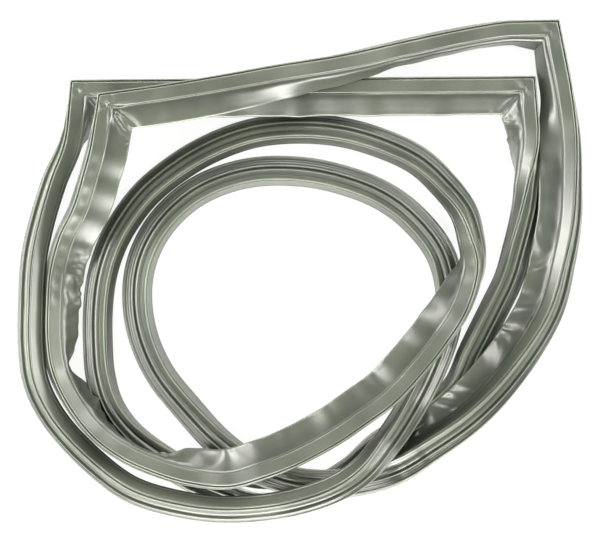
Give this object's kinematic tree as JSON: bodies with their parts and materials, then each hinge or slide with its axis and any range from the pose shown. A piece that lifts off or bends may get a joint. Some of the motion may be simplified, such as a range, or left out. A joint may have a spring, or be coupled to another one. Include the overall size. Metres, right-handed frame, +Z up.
{
  "type": "refrigerator door gasket",
  "caption": "Soft magnetic door gasket with a wide flap and a barbed mounting dart, welded at its corners into a long rectangle and lying loosely coiled.",
  "frame": {"origin": "middle of the coiled gasket's outline seen from above, on the surface that it lies on", "axes": "+Z up from the surface, +X along the short bottom side from its latch corner end to the other, +Y towards the short sides"},
  "size_m": [0.462, 0.4106, 0.0651],
  "materials": {
    "soft_pvc": "semi-gloss grey flexible PVC",
    "flexible_magnet": "dull dark brown magnet strip"
  },
  "bodies": {
    "root": {"hinge_side_profile": "soft_pvc", "top_side_profile": "soft_pvc", "latch_side_profile": "soft_pvc", "bottom_side_profile": "soft_pvc", "hinge_side_magnet": "flexible_magnet", "top_side_magnet": "flexible_magnet", "latch_side_magnet": "flexible_magnet", "bottom_side_magnet": "flexible_magnet"}
  },
  "joints": []
}
